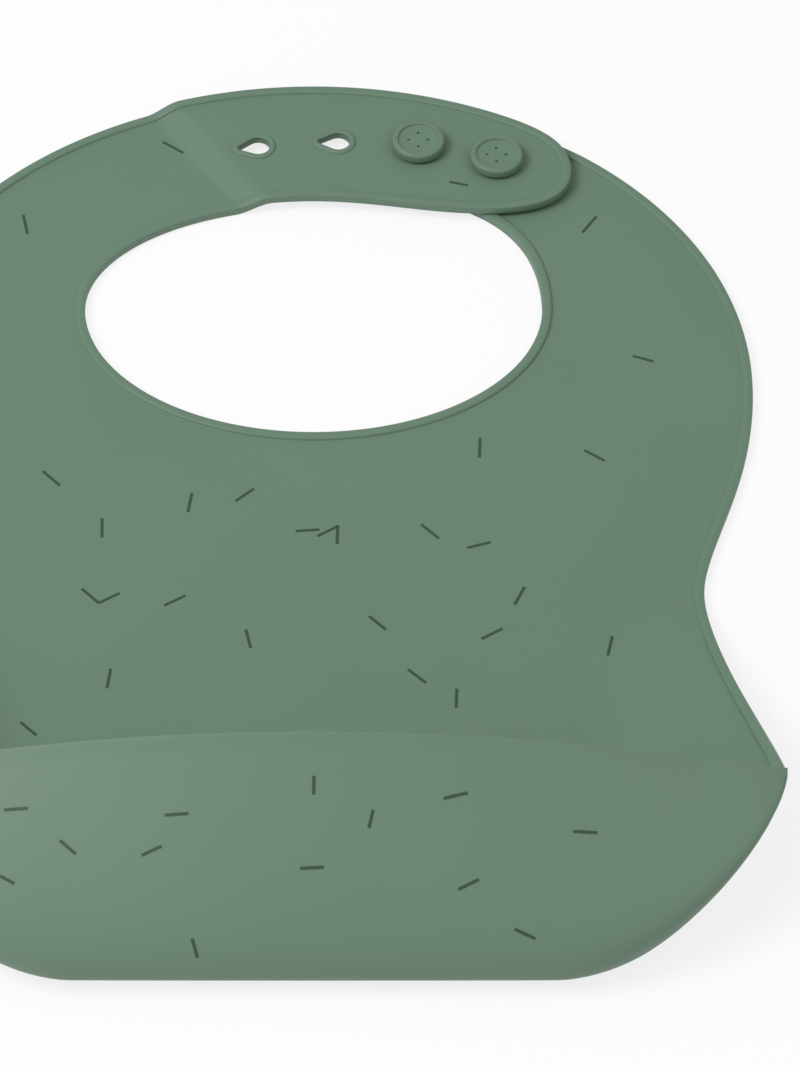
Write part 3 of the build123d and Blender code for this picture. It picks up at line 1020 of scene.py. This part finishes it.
def mouldedSilicone(name, base, deep, grainStrength):
    # Food-grade silicone rubber, compression moulded in a blasted steel mould: matte, very faintly grained
    material, tree = newMaterial(name)
    place = addNode(tree, "ShaderNodeTexCoord").outputs["Object"]
    cloud = addNode(
        tree,
        "ShaderNodeTexNoise",
        inputs={"Vector": place, "Scale": 1000 / silicone["cloud"], "Detail": 2.0, "Roughness": 0.45},
    )
    shade = addNode(
        tree,
        "ShaderNodeMix",
        {"data_type": "RGBA"},
        {"Factor": cloud.outputs["Fac"], 6: srgb(base), 7: srgb(deep)},
    )
    # mould grain of about 0.15 mm, drawn three times as coarse so that it shows
    grain = addNode(
        tree,
        "ShaderNodeTexNoise",
        inputs={"Vector": place, "Scale": 1000 / silicone["grain"], "Detail": 2.0, "Roughness": 0.6},
    )
    bump = addNode(
        tree,
        "ShaderNodeBump",
        inputs={"Height": grain.outputs["Fac"], "Strength": grainStrength, "Distance": 0.03 * mm},
    )
    dull = addNode(
        tree,
        "ShaderNodeMapRange",
        inputs={"Value": grain.outputs["Fac"], "To Min": 0.47, "To Max": 0.57},
    )
    shader = addNode(
        tree,
        "ShaderNodeBsdfPrincipled",
        inputs={
            "Base Color": shade.outputs[2],
            "Roughness": dull.outputs["Result"],
            "Normal": bump.outputs["Normal"],
            "IOR": 1.41,
            "Subsurface Weight": 0.0,
            "Sheen Weight": 0.04,
            "Sheen Roughness": 0.5,
        },
    )
    addNode(tree, "ShaderNodeOutputMaterial", inputs={"Surface": shader.outputs["BSDF"]})
    return material


sheetFinish = mouldedSilicone("moulded_silicone", silicone["base"], silicone["deep"], 0.35)
studFinish = mouldedSilicone("polished_silicone", silicone["base"], silicone["deep"], 0.15)

for piece in (chest, keyholeStrap, studStrap, keyholeLips, pocketSheet):
    piece.data.materials.clear()
    piece.data.materials.append(sheetFinish)
    smoothShade(piece)
for piece in (innerStud, outerStud):
    piece.data.materials.clear()
    piece.data.materials.append(studFinish)
    smoothShade(piece, 50)

# Pigmented silicone print: a darker green than the sheet, with less grain
printFinish = mouldedSilicone("dark_silicone_print", dashes["base"], dashes["deep"], 0.2)
for piece in (chestDashes, pocketDashes, strapDashes, studDashes):
    piece.data.materials.clear()
    piece.data.materials.append(printFinish)

# Bodies: each sheet bends across the joint that its solids have
turn = neckCentre * mm


def along(way, distance):
    return tuple(turn + Vector(way) * distance * mm)


upward = (0, 1, 0)
for piece in (chest, chestDashes):
    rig.blend(piece, "apron", "collar", start=along(upward, bend["before"]), end=along(upward, bend["after"]))
for piece in (keyholeStrap, strapDashes):
    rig.blend(
        piece,
        "collar",
        "keyhole_strap",
        start=along(peelWay, bend["before"]),
        end=along(peelWay, bend["after"]),
    )
for piece in (studStrap, studDashes):
    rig.blend(
        piece, "collar", "stud_strap", start=along(studWay, bend["before"]), end=along(studWay, bend["after"])
    )
for piece in (pocketSheet, pocketDashes):
    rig.blend(piece, "apron", "pocket", start=(0, 0, 0.024), end=(0, 0, 0.044))
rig.ride(keyholeLips, "keyhole_strap")
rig.ride(innerStud, "stud_strap")
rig.ride(outerStud, "stud_strap")

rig.replaces(
    chest,
    "chest_panel",
    "neck_bead",
    "side_bead_left",
    "side_bead_right",
    "shoulder_flex_left",
    "shoulder_flex_right",
    "shoulder_left",
    "shoulder_right",
    "shoulder_bead_left",
    "shoulder_bead_right",
)
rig.replaces(keyholeStrap, "keyhole_strap", "keyhole_strap_bead", "keyhole_strap_flex")
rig.replaces(studStrap, "stud_strap", "stud_strap_bead", "stud_strap_flex")
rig.replaces(keyholeLips, "keyhole_lips")
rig.replaces(innerStud, "inner_stud")
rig.replaces(outerStud, "outer_stud")
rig.replaces(
    pocketSheet,
    "gusset_left",
    "gusset_right",
    "pocket_floor",
    "pocket_fold",
    "pocket_front",
    "pocket_rim",
    "pocket_corner_left",
    "pocket_corner_right",
    "corner_rim_left",
    "corner_rim_right",
)
for piece in (chest, keyholeStrap, studStrap, keyholeLips, pocketSheet):
    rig.slot(piece, "sheet_silicone")
for piece in (innerStud, outerStud):
    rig.slot(piece, "stud_silicone")

# Floor, pale and plain, seen as white
deselect()
bpy.ops.mesh.primitive_plane_add(size=6, location=(0, 0, -0.0002))
floor = bpy.context.object
floor.name = "studio_floor"
floorFinish, tree = newMaterial("white_paper")
paper = addNode(tree, "ShaderNodeBsdfDiffuse", inputs={"Color": srgb("f2f2f2")})
glow = addNode(tree, "ShaderNodeEmission", inputs={"Color": (1, 1, 1, 1), "Strength": 1.0})
ray = addNode(tree, "ShaderNodeLightPath")
seen = addNode(
    tree,
    "ShaderNodeMath",
    {"operation": "MAXIMUM"},
    {0: ray.outputs["Is Camera Ray"], 1: ray.outputs["Is Glossy Ray"]},
)
seen = addNode(
    tree,
    "ShaderNodeMath",
    {"operation": "MAXIMUM"},
    {0: seen.outputs[0], 1: ray.outputs["Is Transmission Ray"]},
)
share = addNode(tree, "ShaderNodeMath", {"operation": "MULTIPLY"}, {0: seen.outputs[0], 1: 0.8})
whole = addNode(
    tree, "ShaderNodeMixShader", inputs={0: share.outputs[0], 1: paper.outputs[0], 2: glow.outputs[0]}
)
addNode(tree, "ShaderNodeOutputMaterial", inputs={"Surface": whole.outputs[0]})
floor.data.materials.append(floorFinish)
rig.stage(floor)

# World: even white light, and white behind everything
world = bpy.data.worlds.new("white_studio")
bpy.context.scene.world = world
world.use_nodes = True
tree = world.node_tree
tree.nodes.clear()
ray = addNode(tree, "ShaderNodeLightPath")
seen = addNode(
    tree,
    "ShaderNodeMath",
    {"operation": "MAXIMUM"},
    {0: ray.outputs["Is Camera Ray"], 1: ray.outputs["Is Transmission Ray"]},
)
strength = addNode(
    tree, "ShaderNodeMapRange", inputs={"Value": seen.outputs[0], "To Min": 0.5, "To Max": 1.0}
)
sky = addNode(tree, "ShaderNodeBackground", inputs={"Color": (1, 1, 1, 1), "Strength": strength.outputs[0]})
addNode(tree, "ShaderNodeOutputWorld", inputs={"Surface": sky.outputs[0]})

lamps = {
    "key": {"from": (-0.95, -0.3, 1.3), "size": 0.9, "power": 17},
    "fill": {"from": (0.9, -0.3, 1.2), "size": 1.2, "power": 2.5},
}
for name, lamp in lamps.items():
    light = bpy.data.lights.new(name + "_light", "AREA")
    light.shape = "DISK"
    light.size = lamp["size"]
    light.energy = lamp["power"]
    holder = bpy.data.objects.new(name + "_light", light)
    bpy.context.collection.objects.link(holder)
    holder.location = lamp["from"]
    holder.rotation_euler = (-Vector(lamp["from"])).to_track_quat("-Z", "Y").to_euler()

view = {"elevation": 50, "distance": 1028.8, "lens": 135, "lookAtY": -9.8, "shiftX": 0.0808}
camera = bpy.data.cameras.new("camera")
camera.lens = view["lens"]
camera.sensor_width = 36
camera.shift_x = view["shiftX"]
eye = bpy.data.objects.new("camera", camera)
bpy.context.collection.objects.link(eye)
lift = math.radians(view["elevation"])
eye.location = (
    Vector((0, view["lookAtY"] - view["distance"] * math.cos(lift), view["distance"] * math.sin(lift))) * mm
)
eye.rotation_euler = (math.pi / 2 - lift, 0, 0)
bpy.context.scene.camera = eye
bpy.context.scene.view_settings.view_transform = "Standard"

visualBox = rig.bounds()
with open("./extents.json", "w") as sizes:
    boxes = {"cad": cadBox, "visual": visualBox}
    json.dump({name: [list(corner) for corner in box] for name, box in boxes.items()}, sizes)
